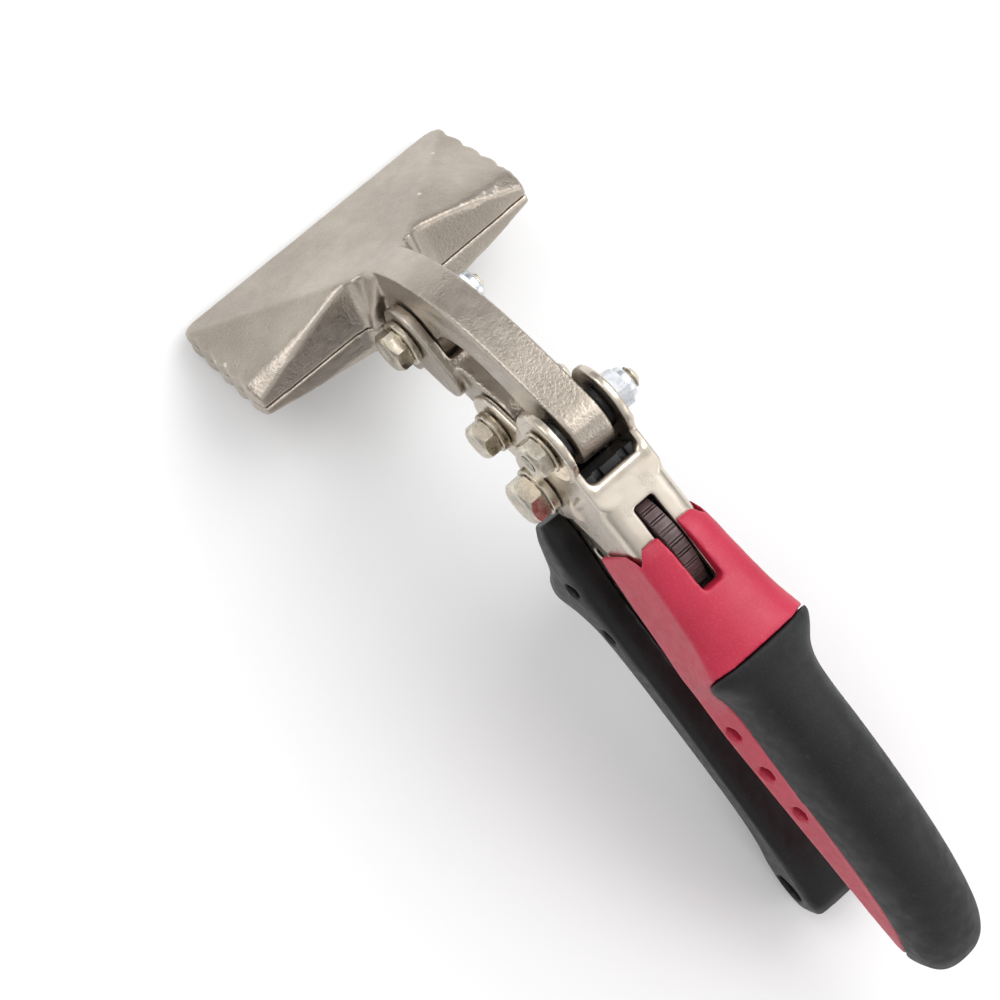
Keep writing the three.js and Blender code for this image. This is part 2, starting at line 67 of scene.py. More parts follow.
jawPlace = localFrame(44.168, 105.703, 1.944)
handlePlace = localFrame(-5.832, 39.293, 75.375)
jawPivot = (-47.5, 3.4)
armPivot = (0, 0)
handlePivot = (-9.17, -19.57)
linkPivot = (5.31, -28.57)
wheelCentre = (-31.3, -8.3)


# Small tools shared by all the pieces
def asObject(bm, name="work"):
    mesh = bpy.data.meshes.new(name)
    bm.to_mesh(mesh)
    bm.free()
    obj = bpy.data.objects.new(name, mesh)
    bpy.context.scene.collection.objects.link(obj)
    return obj


def settle(obj):  # applies the modifiers and hands the mesh back
    bpy.context.view_layer.update()
    ready = obj.evaluated_get(bpy.context.evaluated_depsgraph_get())
    mesh = bpy.data.meshes.new_from_object(ready)
    bm = bmesh.new()
    bm.from_mesh(mesh)
    bpy.data.meshes.remove(mesh)
    old = obj.data
    bpy.data.objects.remove(obj)
    bpy.data.meshes.remove(old)
    return bm


def combine(bm, tools, how="DIFFERENCE"):
    obj = asObject(bm)
    helpers = [asObject(tool, "tool") for tool in tools]
    for helper in helpers:
        cut = obj.modifiers.new("cut", "BOOLEAN")
        cut.operation = how
        cut.solver = "EXACT"
        cut.object = helper
    made = settle(obj)
    for helper in helpers:
        old = helper.data
        bpy.data.objects.remove(helper)
        bpy.data.meshes.remove(old)
    return made


def fair(bm, voxel, rounds):  # an even skin with worn-down edges, as a casting or a moulding has
    obj = asObject(bm)
    skin = obj.modifiers.new("skin", "REMESH")
    skin.mode = "VOXEL"
    skin.voxel_size = voxel
    made = settle(obj)
    for _ in range(rounds):
        bmesh.ops.smooth_vert(
            made, verts=made.verts, factor=0.5, use_axis_x=True, use_axis_y=True, use_axis_z=True
        )
    return made


def soften(bm, width, segments=2, angle=35):  # a small round on every sharp edge
    obj = asObject(bm)
    edge = obj.modifiers.new("edge", "BEVEL")
    edge.width = width
    edge.segments = segments
    edge.limit_method = "ANGLE"
    edge.angle_limit = math.radians(angle)
    edge.use_clamp_overlap = True
    return settle(obj)


def plate(outline, low, high):  # an x, z outline drawn across the tool
    bm = bmesh.new()
    face = bm.faces.new([bm.verts.new((x, low, z)) for x, z in outline])
    grown = bmesh.ops.extrude_face_region(bm, geom=[face])["geom"]
    ends = [v for v in grown if isinstance(v, bmesh.types.BMVert)]
    bmesh.ops.translate(bm, verts=ends, vec=(0, high - low, 0))
    bmesh.ops.recalc_face_normals(bm, faces=bm.faces)
    return bm


def lathe(profile, centre, steps=48, closed=False):  # radius, y pairs spun about a pivot
    bm = bmesh.new()
    chain = [bm.verts.new((r, y, 0)) for r, y in profile]
    edges = [bm.edges.new(pair) for pair in zip(chain, chain[1:])]
    if closed:
        edges.append(bm.edges.new((chain[-1], chain[0])))
    bmesh.ops.spin(
        bm, geom=chain + edges, cent=(0, 0, 0), axis=(0, 1, 0), dvec=(0, 0, 0),
        angle=math.tau, steps=steps, use_merge=True, use_duplicate=False,
    )
    bmesh.ops.remove_doubles(bm, verts=bm.verts, dist=1e-4)
    bmesh.ops.recalc_face_normals(bm, faces=bm.faces)
    bmesh.ops.translate(bm, verts=bm.verts, vec=(centre[0], 0, centre[1]))
    return bm


def rod(centre, radius, low, high, steps=40):
    return lathe([(0, low), (radius, low), (radius, high), (0, high)], centre, steps)


def block(x0, x1, y0, y1, z0, z1):
    bm = bmesh.new()
    bmesh.ops.create_cube(bm, size=1)
    bmesh.ops.scale(bm, verts=bm.verts, vec=(x1 - x0, y1 - y0, z1 - z0))
    bmesh.ops.translate(bm, verts=bm.verts, vec=((x0 + x1) / 2, (y0 + y1) / 2, (z0 + z1) / 2))
    return bm


def pebble(centre, radii, turn=0):  # a squashed ball, for raised and sunk spots
    bm = bmesh.new()
    bmesh.ops.create_uvsphere(bm, u_segments=32, v_segments=20, radius=1)
    bmesh.ops.scale(bm, verts=bm.verts, vec=radii)
    bmesh.ops.rotate(bm, verts=bm.verts, cent=(0, 0, 0), matrix=Matrix.Rotation(math.radians(turn), 3, "Y"))
    bmesh.ops.translate(bm, verts=bm.verts, vec=centre)
    return bm


def hexBar(centre, flats, low, high):
    bm = bmesh.new()
    corner = flats / math.sqrt(3)
    bmesh.ops.create_cone(bm, cap_ends=True, segments=6, radius1=corner, radius2=corner, depth=high - low)
    bmesh.ops.rotate(bm, verts=bm.verts, cent=(0, 0, 0), matrix=Matrix.Rotation(math.pi / 2, 3, "X"))
    bmesh.ops.translate(bm, verts=bm.verts, vec=(centre[0], (low + high) / 2, centre[1]))
    return bm


def cadCopy(node, place):
    bm = bmesh.new()
    bm.from_mesh(frame["nodes"][node].data)
    bmesh.ops.remove_doubles(bm, verts=bm.verts, dist=2e-6)
    bmesh.ops.transform(bm, matrix=place.inverted(), verts=bm.verts)
    return bm


def seat(bm, place, name, node, finish, angle=35):  # puts a piece in its place on its body
    bmesh.ops.transform(bm, matrix=place, verts=bm.verts)
    bmesh.ops.dissolve_degenerate(bm, edges=bm.edges, dist=1e-7)
    obj = asObject(bm, name)
    obj.data.name = name
    obj.data.shade_smooth()
    obj.data.set_sharp_from_angle(angle=math.radians(angle))
    obj.data.materials.append(finish)
    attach(obj, frame["nodes"][node]["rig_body"])
    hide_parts(node)
    return obj


# Finishes. Lengths in them are metres, so a scale of 1000 is one millimetre
def makeFinish(name, look):
    material = bpy.data.materials.new(name)
    material.use_nodes = True
    nodes, links = material.node_tree.nodes, material.node_tree.links
    shader = nodes["Principled BSDF"]
    shader.inputs["Metallic"].default_value = look["metal"]
    shader.inputs["Specular IOR Level"].default_value = look.get("specular", 0.5)
    shader.inputs["Coat Weight"].default_value = look.get("coat", 0)
    shader.inputs["Coat Roughness"].default_value = 0.3
    coords = nodes.new("ShaderNodeTexCoord")
    turned = nodes.new("ShaderNodeMapping")
    turned.inputs["Rotation"].default_value = (0, math.radians(look.get("turn", 0)), 0)
    links.new(coords.outputs["Object"], turned.inputs["Vector"])

    def noise(scale, detail=3, rough=0.55, stretch=(1, 1, 1)):
        drawn = nodes.new("ShaderNodeMapping")
        drawn.inputs["Scale"].default_value = stretch
        links.new(turned.outputs["Vector"], drawn.inputs["Vector"])
        pattern = nodes.new("ShaderNodeTexNoise")
        pattern.inputs["Scale"].default_value = scale
        pattern.inputs["Detail"].default_value = detail
        pattern.inputs["Roughness"].default_value = rough
        links.new(drawn.outputs["Vector"], pattern.inputs["Vector"])
        return pattern.outputs["Fac"]

    def spread(source, low, high, toLow=0.0, toHigh=1.0):
        node = nodes.new("ShaderNodeMapRange")
        node.interpolation_type = "SMOOTHSTEP"
        for key, value in zip(("From Min", "From Max", "To Min", "To Max"), (low, high, toLow, toHigh)):
            node.inputs[key].default_value = value
        links.new(source, node.inputs["Value"])
        return node.outputs["Result"]

    def blend(amount, under, over):
        node = nodes.new("ShaderNodeMix")
        node.data_type = "RGBA"
        links.new(amount, node.inputs["Factor"])
        for key, value in (("A", under), ("B", over)):
            socket = [s for s in node.inputs if s.name == key and s.type == "RGBA"][0]
            if isinstance(value, tuple):
                socket.default_value = (*value, 1)
            else:
                links.new(value, socket)
        return [s for s in node.outputs if s.type == "RGBA"][0]

    def times(a, b):
        node = nodes.new("ShaderNodeMath")
        node.operation = "MULTIPLY"
        links.new(a, node.inputs[0])
        if isinstance(b, (int, float)):
            node.inputs[1].default_value = b
        else:
            links.new(b, node.inputs[1])
        return node.outputs[0]

    colour = blend(spread(noise(look["cloud"]), 0.35, 0.65), look["dark"], look["light"])
    if "speck" in look:
        specks = spread(noise(look["speckScale"], 2, 0.6), 0.52, 0.68)
        colour = blend(times(specks, look.get("speckAmount", 0.6)), colour, look["speck"])
    if "stain" in look:
        spots = spread(
            noise(look["stainScale"], 4, 0.6), look.get("stainFrom", 0.66), look.get("stainFrom", 0.66) + 0.05
        )
        colour = blend(times(spots, look.get("stainAmount", 0.6)), colour, look["stain"])
    if "dust" in look:
        dust = spread(
            noise(look["dustScale"], 5, 0.7), look.get("dustFrom", 0.68), look.get("dustFrom", 0.68) + 0.04
        )
        colour = blend(times(dust, look.get("dustAmount", 0.5)), colour, look["dust"])
    if "wear" in look:
        edges = nodes.new("ShaderNodeNewGeometry")
        rubbed = times(
            spread(edges.outputs["Pointiness"], look.get("wearFrom", 0.52), look.get("wearTo", 0.6)),
            spread(noise(look["cloud"] * 6), 0.3, 0.6),
        )
        colour = blend(times(rubbed, look.get("wearAmount", 0.7)), colour, look["wear"])
        # darker colour blended in where the surface is concave (low pointiness), strongest in creases,
        # grooves and hollows
        hollows = spread(edges.outputs["Pointiness"], look.get("dirtFrom", 0.48), look.get("dirtTo", 0.4))
        colour = blend(times(hollows, look.get("hollowAmount", 0.6)), colour, look["dirt"])
    links.new(colour, shader.inputs["Base Color"])
    smooth, coarse = look["rough"]
    links.new(spread(noise(look["roughScale"], 4), 0.3, 0.7, smooth, coarse), shader.inputs["Roughness"])
    last = None
    for scale, height, detail, stretch in look["relief"]:
        bump = nodes.new("ShaderNodeBump")
        bump.inputs["Strength"].default_value = 1
        bump.inputs["Distance"].default_value = height
        links.new(noise(scale, detail, 0.6, stretch), bump.inputs["Height"])
        if last:
            links.new(last, bump.inputs["Normal"])
        last = bump.outputs["Normal"]
    links.new(last, shader.inputs["Normal"])
    return material


looks = {
    "forgedNickel": {
        "metal": 1, "dark": (0.37, 0.325, 0.275), "light": (0.48, 0.425, 0.365), "cloud": 40,
        "speck": (0.62, 0.56, 0.49), "speckScale": 2600, "speckAmount": 0.22,
        "stain": (0.07, 0.04, 0.025), "stainScale": 230, "stainFrom": 0.745, "stainAmount": 0.7,
        "wear": (0.85, 0.80, 0.73), "wearAmount": 0.65, "dirt": (0.03, 0.025, 0.02), "rough": (0.27, 0.40),
        "roughScale": 400,
        "relief": [(1350, 0.00013, 3, (1, 1, 1)), (130, 0.00005, 2, (1, 1, 1))],
    },
    "stampedNickel": {
        "metal": 1, "dark": (0.56, 0.495, 0.415), "light": (0.66, 0.595, 0.51), "cloud": 70,
        "stain": (0.14, 0.09, 0.06), "stainScale": 260, "stainFrom": 0.75, "stainAmount": 0.4,
        "wear": (0.9, 0.86, 0.78), "wearAmount": 0.5, "dirt": (0.12, 0.09, 0.07), "rough": (0.25, 0.38),
        "roughScale": 300,
        "relief": [(2600, 0.00001, 3, (0.12, 1, 1)), (170, 0.00005, 2, (1, 1, 1))],
    },
    "boltNickel": {
        "metal": 1, "dark": (0.52, 0.465, 0.375), "light": (0.64, 0.58, 0.48), "cloud": 200,
        "stain": (0.25, 0.17, 0.1), "stainScale": 500, "stainFrom": 0.72, "stainAmount": 0.3,
        "wear": (0.9, 0.85, 0.76), "dirt": (0.12, 0.1, 0.08), "rough": (0.2, 0.34), "roughScale": 600,
        "relief": [(2400, 0.00001, 3, (1, 0.15, 1)), (400, 0.00002, 2, (1, 1, 1))],
    },
    "zincPlate": {
        "metal": 1, "dark": (0.60, 0.625, 0.66), "light": (0.76, 0.78, 0.81), "cloud": 250,
        "stain": (0.55, 0.5, 0.34), "stainScale": 420, "stainFrom": 0.64, "stainAmount": 0.3,
        "wear": (0.92, 0.93, 0.95), "dirt": (0.15, 0.15, 0.16), "rough": (0.24, 0.4), "roughScale": 700,
        "relief": [(1800, 0.00001, 3, (1, 1, 1)), (350, 0.00002, 2, (1, 1, 1))],
    },
    "nylonInsert": {
        "metal": 0, "dark": (0.50, 0.54, 0.58), "light": (0.66, 0.69, 0.72), "cloud": 500,
        "rough": (0.35, 0.5), "roughScale": 900, "relief": [(1500, 0.00002, 3, (1, 1, 1))],
    },
    "blackSteel": {
        "metal": 1, "dark": (0.016, 0.016, 0.017), "light": (0.042, 0.041, 0.041), "cloud": 300,
        "wear": (0.22, 0.21, 0.2), "wearAmount": 0.4, "dirt": (0.01, 0.01, 0.01), "rough": (0.28, 0.45),
        "roughScale": 800,
        "relief": [(1700, 0.00002, 3, (1, 1, 1))],
    },
    "redShell": {
        "metal": 0, "dark": (0.43, 0.012, 0.040), "light": (0.50, 0.018, 0.054), "cloud": 40,
        "speck": (0.72, 0.10, 0.16), "speckScale": 2600, "speckAmount": 0.2,
        "dust": (0.8, 0.4, 0.42), "dustScale": 800, "dustFrom": 0.76, "dustAmount": 0.4,
        "wear": (0.72, 0.08, 0.14), "wearAmount": 0.3, "dirt": (0.2, 0.004, 0.016), "hollowAmount": 0.4,
        "rough": (0.36, 0.46), "roughScale": 500,
        "relief": [(3200, 0.00002, 3, (1, 1, 1)), (150, 0.00002, 2, (1, 1, 1))],
    },
    "softGrip": {
        "metal": 0, "specular": 0.35, "dark": (0.008, 0.008, 0.009), "light": (0.012, 0.012, 0.0132),
        "cloud": 45,
        "speck": (0.04, 0.04, 0.042), "speckScale": 2400, "speckAmount": 0.25,
        "dust": (0.34, 0.34, 0.33), "dustScale": 420, "dustFrom": 0.775, "dustAmount": 0.45,
        "wear": (0.05, 0.05, 0.052), "wearAmount": 0.25, "dirt": (0.006, 0.006, 0.006), "hollowAmount": 0.5,
        "rough": (0.5, 0.64), "roughScale": 300,
        "relief": [(3000, 0.00003, 3, (1, 1, 1)), (90, 0.000015, 2, (1, 1, 1))],
    },
    "blackShell": {
        "metal": 0, "specular": 0.35, "dark": (0.004, 0.004, 0.0044), "light": (0.008, 0.008, 0.0086),
        "cloud": 50,
        "speck": (0.03, 0.03, 0.031), "speckScale": 2600, "speckAmount": 0.3,
        "dust": (0.22, 0.22, 0.22), "dustScale": 600, "dustFrom": 0.78, "dustAmount": 0.35,
        "wear": (0.045, 0.045, 0.047), "wearAmount": 0.3, "dirt": (0.004, 0.004, 0.004), "hollowAmount": 0.4,
        "rough": (0.36, 0.48), "roughScale": 450,
        "relief": [(3400, 0.00002, 3, (1, 1, 1)), (130, 0.00002, 2, (1, 1, 1))],
    },
    "plumWheel": {
        "metal": 0, "dark": (0.066, 0.038, 0.038), "light": (0.105, 0.064, 0.062), "cloud": 260,
        "wear": (0.26, 0.18, 0.175), "wearFrom": 0.53, "wearAmount": 0.5, "dirt": (0.012, 0.008, 0.008),
        "hollowAmount": 0.85,
        "rough": (0.34, 0.48), "roughScale": 700, "relief": [(2500, 0.00002, 3, (0.2, 1, 0.2))],
    },
}
finishes = {name: makeFinish(name, look) for name, look in looks.items()}
print("finishes mixed")


# Jaws: forged, so every edge is worn round
jaws = {"voxel": 0.42, "rounds": 5, "ridgeRounds": 22, "ridgeReach": 3.6}


def wearRidge(body, sign):  # the long ridges from the neck to the jaw ends are worn rounder than the rest
    near = []
    for v in body.verts:
        across = abs(v.co.y)
        if across < 9.5:
            continue
        share = (across - 6.5) / 34
        if sign > 0:
            ridge = Vector((-36.3 + 7.8 * share, across, 16.2 - 12.2 * share))
        else:
            ridge = Vector((-33 + 4.5 * share, across, -9 + 6 * share))
        if (Vector((v.co.x, across, v.co.z)) - ridge).length < jaws["ridgeReach"] * (1 - 0.45 * share):
            near.append(v)
    for _ in range(jaws["ridgeRounds"]):
        bmesh.ops.smooth_vert(body, verts=near, factor=0.5, use_axis_x=True, use_axis_y=True, use_axis_z=True)


def upperJaw():
    body = cadCopy("upper_jaw", jawPlace)
    crease = []
    for side in (1, -1):  # shallow hollow along each flank of the arm
        crease.append(pebble((-70, side * 5.35, 17.2), (20, 1.45, 3.2)))
    body = combine(body, crease)
    body = fair(body, jaws["voxel"], jaws["rounds"])
    wearRidge(body, 1)
    seat(body, jawPlace, "upperJawForging", "upper_jaw", finishes["forgedNickel"], 60)


def lowerJaw():
    body = cadCopy("lower_jaw", jawPlace)
    body = fair(body, jaws["voxel"], jaws["rounds"])
    wearRidge(body, -1)
    seat(body, jawPlace, "lowerJawForging", "lower_jaw", finishes["forgedNickel"], 60)


upperJaw()
lowerJaw()
print("jaws forged")

# Bolts, washers and lock nuts at the four pivots
fasteners = {
    "jaw": {
        "centre": jawPivot, "place": jawPlace, "flats": 8.8, "head": (9.1, 12.6), "washer": (7.3, 8.8, 5.6),
        "nut": -7.3, "tip": -14
    },
    "arm": {
        "centre": armPivot, "place": handlePlace, "flats": 8.2, "head": (9.8, 13), "washer": (8.8, 9.5, 5.1),
        "nut": -8.8, "tip": -16.2
    },
    "handle": {
        "centre": handlePivot, "place": handlePlace, "flats": 9.8, "head": (11.1, 15.2),
        "washer": (8.8, 10.8, 6), "nut": -8.8, "tip": -16
    },
    "link": {
        "centre": linkPivot, "place": handlePlace, "flats": 7.8, "head": (8.9, 12.4),
        "washer": (6.6, 8.6, 4.9), "nut": -6.6, "tip": -13.4
    },
}
shank = {"radius": 2.5, "thread": 2.08, "pitch": 0.8, "threaded": 7, "bore": 2.8}


def makeBolt(name, parts):
    centre, (low, high) = parts["centre"], parts["head"]
    corner = parts["flats"] / math.sqrt(3)
    crown = lathe(
        [(0, low), (corner - 0.35, low), (corner + 0.2, low + 0.35), (corner + 0.2, high - 1.15),
         (corner - 1.0, high), (2.1, high), (1.8, high - 0.15), (0, high - 0.15)],
        centre, 64,
    )
    head = combine(hexBar(centre, parts["flats"], low, high), [crown], "INTERSECT")
    head = soften(head, 0.14)
    tip = parts["tip"]
    profile = [(0, tip), (shank["thread"] - 0.5, tip)]
    y = tip + 0.5
    for _ in range(shank["threaded"]):
        profile += [
            (shank["thread"], y), (shank["radius"], y + 0.42 * shank["pitch"]),
            (shank["radius"], y + 0.58 * shank["pitch"])
        ]
        y += shank["pitch"]
    profile += [
        (shank["thread"], y), (shank["radius"], y + 0.6), (shank["radius"], low + 0.4), (0, low + 0.4)
    ]
    neck = lathe(
        [
            (0, low - 0.25), (parts["flats"] / 2 - 0.3, low - 0.25), (parts["flats"] / 2 - 0.3, low + 0.3),
            (0, low + 0.3)
        ],
        centre, 48
    )
    body = combine(head, [neck, lathe(profile, centre, 40)], "UNION")
    seat(body, parts["place"], name + "BoltTurned", name + "_bolt", finishes["boltNickel"])


def makeWasher(name, parts):
    low, high, radius = parts["washer"]
    r = 0.22
    bore = shank["bore"]
    profile = [(bore, low + r), (bore + r, low), (radius - r, low), (radius, low + r),
               (radius, high - r), (radius - r, high), (bore + r, high), (bore, high - r)]
    seat(soften(lathe(profile, parts["centre"], 64, True), 0.06), parts["place"], name + "WasherPressed",
         name + "_washer", finishes["boltNickel"])


def makeNut(name, parts):
    centre, top = parts["centre"], parts["nut"]
    corner = parts["flats"] / math.sqrt(3)
    crown = lathe(
        [
            (0, top), (corner - 0.8, top), (corner + 0.2, top - 0.6), (corner + 0.2, top - 3.4),
            (corner - 0.9, top - 4), (0, top - 4)
        ],
        centre, 64,
    )
    body = soften(combine(hexBar(centre, parts["flats"], top - 4, top), [crown], "INTERSECT"), 0.14)
    wide = parts["flats"] * 0.44
    collar = lathe(
        [(0, top - 5.6), (wide - 0.75, top - 5.6), (wide - 0.4, top - 5.5), (wide - 0.12, top - 5.25),
         (wide, top - 4.9), (wide, top - 3.9), (0, top - 3.9)],
        centre, 56,
    )
    body = combine(body, [collar], "UNION")
    body = combine(body, [rod(centre, 2.56, top - 8, top + 1), rod(centre, 3.0, top - 8, top - 4.2, 56)])
    seat(body, parts["place"], name + "NutPlated", name + "_nut", finishes["zincPlate"])
    insert = lathe(
        [(2.52, top - 5.45), (2.62, top - 5.68), (2.92, top - 5.64), (2.98, top - 4.3), (2.52, top - 4.3)],
        centre, 48, True
    )
    seat(insert, parts["place"], name + "NutInsert", name + "_nut", finishes["nylonInsert"])


for name, parts in fasteners.items():
    makeBolt(name, parts)
    makeWasher(name, parts)
    makeNut(name, parts)
print("fasteners turned")

# Spacers, bush, wheel pin and the small pins of the lower grip
turnings = {
    "arm_spacer_left": {"ring": (2.8, 5.4, 4.8, 6.4), "centre": armPivot},
    "arm_spacer_right": {"ring": (2.8, 5.4, -6.4, -4.8), "centre": armPivot},
    "spring_bush": {"ring": (2.8, 4.2, -4.5, 4.5), "centre": handlePivot},
    "wheel_spacer_left": {"ring": (2.3, 4.2, 4.3, 6.4), "centre": wheelCentre},
    "wheel_spacer_right": {"ring": (2.3, 4.2, -6.4, -2.3), "centre": wheelCentre},
    "wheel_pin": {"stud": (2, 8.4), "centre": wheelCentre},
    "latch_striker": {"stud": (1.8, 6.2), "centre": (-30, -27)},
    "lower_grip_pin_front": {"stud": (1.8, 11), "centre": (-34.2, -37)},
    "lower_grip_pin_rear": {"stud": (1.8, 11), "centre": (-48, -39.4)},
}
for node, part in turnings.items():
    if "ring" in part:
        inner, outer, low, high = part["ring"]
        r = 0.2
        profile = [(inner, low + r), (inner + r, low), (outer - r, low), (outer, low + r),
                   (outer, high - r), (outer - r, high), (inner + r, high), (inner, high - r)]
        body = lathe(profile, part["centre"], 48, True)
    else:
        radius, reach = part["stud"]
        dome = [
            (0, reach), (radius * 0.45, reach - 0.04), (radius * 0.8, reach - 0.2), (radius, reach - 0.55)
        ]
        body = lathe([(r, -y) for r, y in dome] + dome[::-1], part["centre"], 40)
    body = soften(body, 0.05)
    words = node.split("_")
    seat(body, handlePlace, words[0] + "".join(w.title() for w in words[1:]) + "Turned", node,
         finishes["blackSteel"])
print("turnings done")


# Return spring: a coil on the bush with two straight legs
spring = {"radius": 5.5, "wire": 0.72, "turns": 4, "reach": 3.9}


def makeSpring():
    points = [(-17.2, spring["reach"], 1.2), (-16.7, spring["reach"], -8)]
    steps = spring["turns"] * 24 + 9
    for i in range(steps + 1):
        angle = math.pi + math.tau * i / 24
        points.append((handlePivot[0] + spring["radius"] * math.cos(angle),
                       spring["reach"] - 2 * spring["reach"] * i / steps,
                       handlePivot[1] + spring["radius"] * math.sin(angle)))
    points += [(-20, -spring["reach"], -31.6), (-23.2, -spring["reach"], -34.9)]
    curve = bpy.data.curves.new("coil", "CURVE")
    curve.dimensions = "3D"
    curve.bevel_depth = spring["wire"]
    curve.bevel_resolution = 4
    curve.use_fill_caps = True
    path = curve.splines.new("POLY")
    path.points.add(len(points) - 1)
    for point, at in zip(path.points, points):
        point.co = (*at, 1)
    obj = bpy.data.objects.new("coil", curve)
    bpy.context.scene.collection.objects.link(obj)
    bpy.context.view_layer.update()
    mesh = bpy.data.meshes.new_from_object(obj.evaluated_get(bpy.context.evaluated_depsgraph_get()))
    bpy.data.objects.remove(obj)
    body = bmesh.new()
    body.from_mesh(mesh)
    bmesh.ops.remove_doubles(body, verts=body.verts, dist=1e-4)
    bmesh.ops.recalc_face_normals(body, faces=body.faces)
    seat(body, handlePlace, "returnSpringCoil", "return_spring", finishes["blackSteel"], 50)


makeSpring()


# Brackets: bent and stamped sheet
brackets = {"voxel": 0.36, "rounds": 3, "shoulder": 3.2, "lip": 1.25}


def shoulderCut(side):  # takes the square corner off the bend along the top
    y, z, r = 8.5, 4.4, brackets["shoulder"]
    bm = bmesh.new()
    outline = [(y + 1, z + 1), (y - r, z + 1), (y - r, z)]
    outline += [
        (
            y - r + r * math.sin(math.radians(a)), z - r + r * math.cos(math.radians(a))
        ) for a in range(10, 90, 10)
    ]
    outline += [(y, z - r), (y + 1, z - r)]
    face = bm.faces.new([bm.verts.new((-62, side * a, b)) for a, b in outline])
    ring = [
        v for v in bmesh.ops.extrude_face_region(bm, geom=[face])["geom"] if isinstance(v, bmesh.types.BMVert)
    ]
    bmesh.ops.translate(bm, verts=ring, vec=(44, 0, 0))
    face = [f for f in bm.faces if all(v in ring for v in f.verts)]
    ring = [
        v for v in bmesh.ops.extrude_face_region(bm, geom=face)["geom"] if isinstance(v, bmesh.types.BMVert)
    ]
    bmesh.ops.translate(bm, verts=ring, vec=(6.5, side * 2.6, 2.6))
    bmesh.ops.delete(bm, geom=face, context="FACES_ONLY")
    bmesh.ops.recalc_face_normals(bm, faces=bm.faces)
    return bm


def upperBracket():
    body = cadCopy("upper_bracket", handlePlace)
    body = combine(body, [shoulderCut(1), shoulderCut(-1)])
    lip = plate(
        [(-12.6 + brackets["lip"] * math.cos(a * math.tau / 20),
          3.35 + brackets["lip"] * math.sin(a * math.tau / 20))
         for a in range(20)],
        -7.2, 7.2,
    )
    additions = [lip]
    for side in (1, -1):
        additions.append(pebble((-16, side * 8.4, -11), (3.1, 1.0, 1.25), -22))  # stamped stiffening bead
        additions.append(pebble((-14.3, side * 8.3, -5.4), (1.1, 0.75, 6.2), 14))
        additions.append(
            lathe([(7.35, side * 8.3), (8.0, side * 8.95), (8.75, side * 8.3)], (0, 0), 64, True)
        )
    body = combine(body, additions, "UNION")
    fillets = [pebble((-12.4, side * 6.9, 3.1), (2.2, 1.6, 1.6)) for side in (1, -1)]
    body = combine(body, fillets, "UNION")
    body = fair(body, brackets["voxel"], brackets["rounds"])
    seat(
        body, handlePlace, "upperBracketStamping", "upper_bracket", finishes["stampedNickel"],
        60
    )


def lowerBracket():
    body = cadCopy("lower_bracket", handlePlace)
    beads = [pebble((-1.5, side * 6.2, -25), (6, 0.8, 1.2), 32) for side in (1, -1)]
    body = combine(body, beads, "UNION")
    body = fair(body, brackets["voxel"], brackets["rounds"])
    seat(
        body, handlePlace, "lowerBracketStamping", "lower_bracket", finishes["stampedNickel"],
        60
    )


upperBracket()
lowerBracket()
print("brackets stamped")


# Latch: a ridged wheel under the thumb, a hook beside it and the moulding they sit in
wheel = {"radius": 14.5, "half": 2, "ridges": 32, "groove": 0.75, "round": 0.55}


def thumbWheel():
    outline = []
    for i in range(wheel["ridges"]):
        for share, depth in (
            (0, 0), (0.2, 0), (0.4, 0), (0.6, 0), (0.64, 1), (0.72, 1), (0.75, 0), (0.83, 0), (0.86, 1),
            (0.95, 1)
        ):
            angle = math.tau * (i + share) / wheel["ridges"]
            r = wheel["radius"] - depth * wheel["groove"]
            outline.append((wheelCentre[0] + r * math.cos(angle), wheelCentre[1] + r * math.sin(angle)))
    half, r, rim = wheel["half"], wheel["round"], wheel["radius"]
    rounded = lathe(
        [(0, -half), (rim - r, -half), (rim - r * 0.3, -half + r * 0.3), (rim + 0.02, -half + r),
         (rim + 0.02, half - r), (rim - r * 0.3, half - r * 0.3), (rim - r, half), (0, half)],
        wheelCentre, 120,
    )
    body = combine(plate(outline, -half, half), [rounded], "INTERSECT")
    dishes = [
        lathe(
            [(5.5, side * 3), (11.5, side * 3), (11, side * 1.1), (6.0, side * 1.1)], wheelCentre, 72, True
        ) for side in (1, -1)
    ]
    body = combine(body, [*dishes, rod(wheelCentre, 2.25, -5, 5)])
    seat(
        soften(body, 0.1, 1, 40), handlePlace, "thumbWheelMoulded", "thumb_wheel", finishes["plumWheel"],
        30
    )


def latchHook():
    body = cadCopy("latch_hook", handlePlace)
    bmesh.ops.dissolve_limit(body, angle_limit=math.radians(1), verts=body.verts, edges=body.edges)
    seat(
        soften(body, 0.18), handlePlace, "latchHookPressed", "latch_hook", finishes["blackSteel"],
    )


def latchCradle():
    frameBlock = block(-48.2, -9.6, -6.5, 6.5, -8, 2.35)
    body = combine(frameBlock, [block(-46.5, -12.2, -3.2, 4.85, -10, 5), rod(wheelCentre, 4.6, -8, 8)])
    # moulding notches in the front wall
    notches = [block(-13, -9, side * 3.4 - 0.9, side * 3.4 + 0.9, 0.9, 4) for side in (1, -1)]
    body = combine(body, notches)
    seat(
        soften(body, 0.3, 3), handlePlace, "latchCradleMoulded", "latch_cradle", finishes["blackShell"],
    )


thumbWheel()
latchHook()
latchCradle()
print("latch ready")


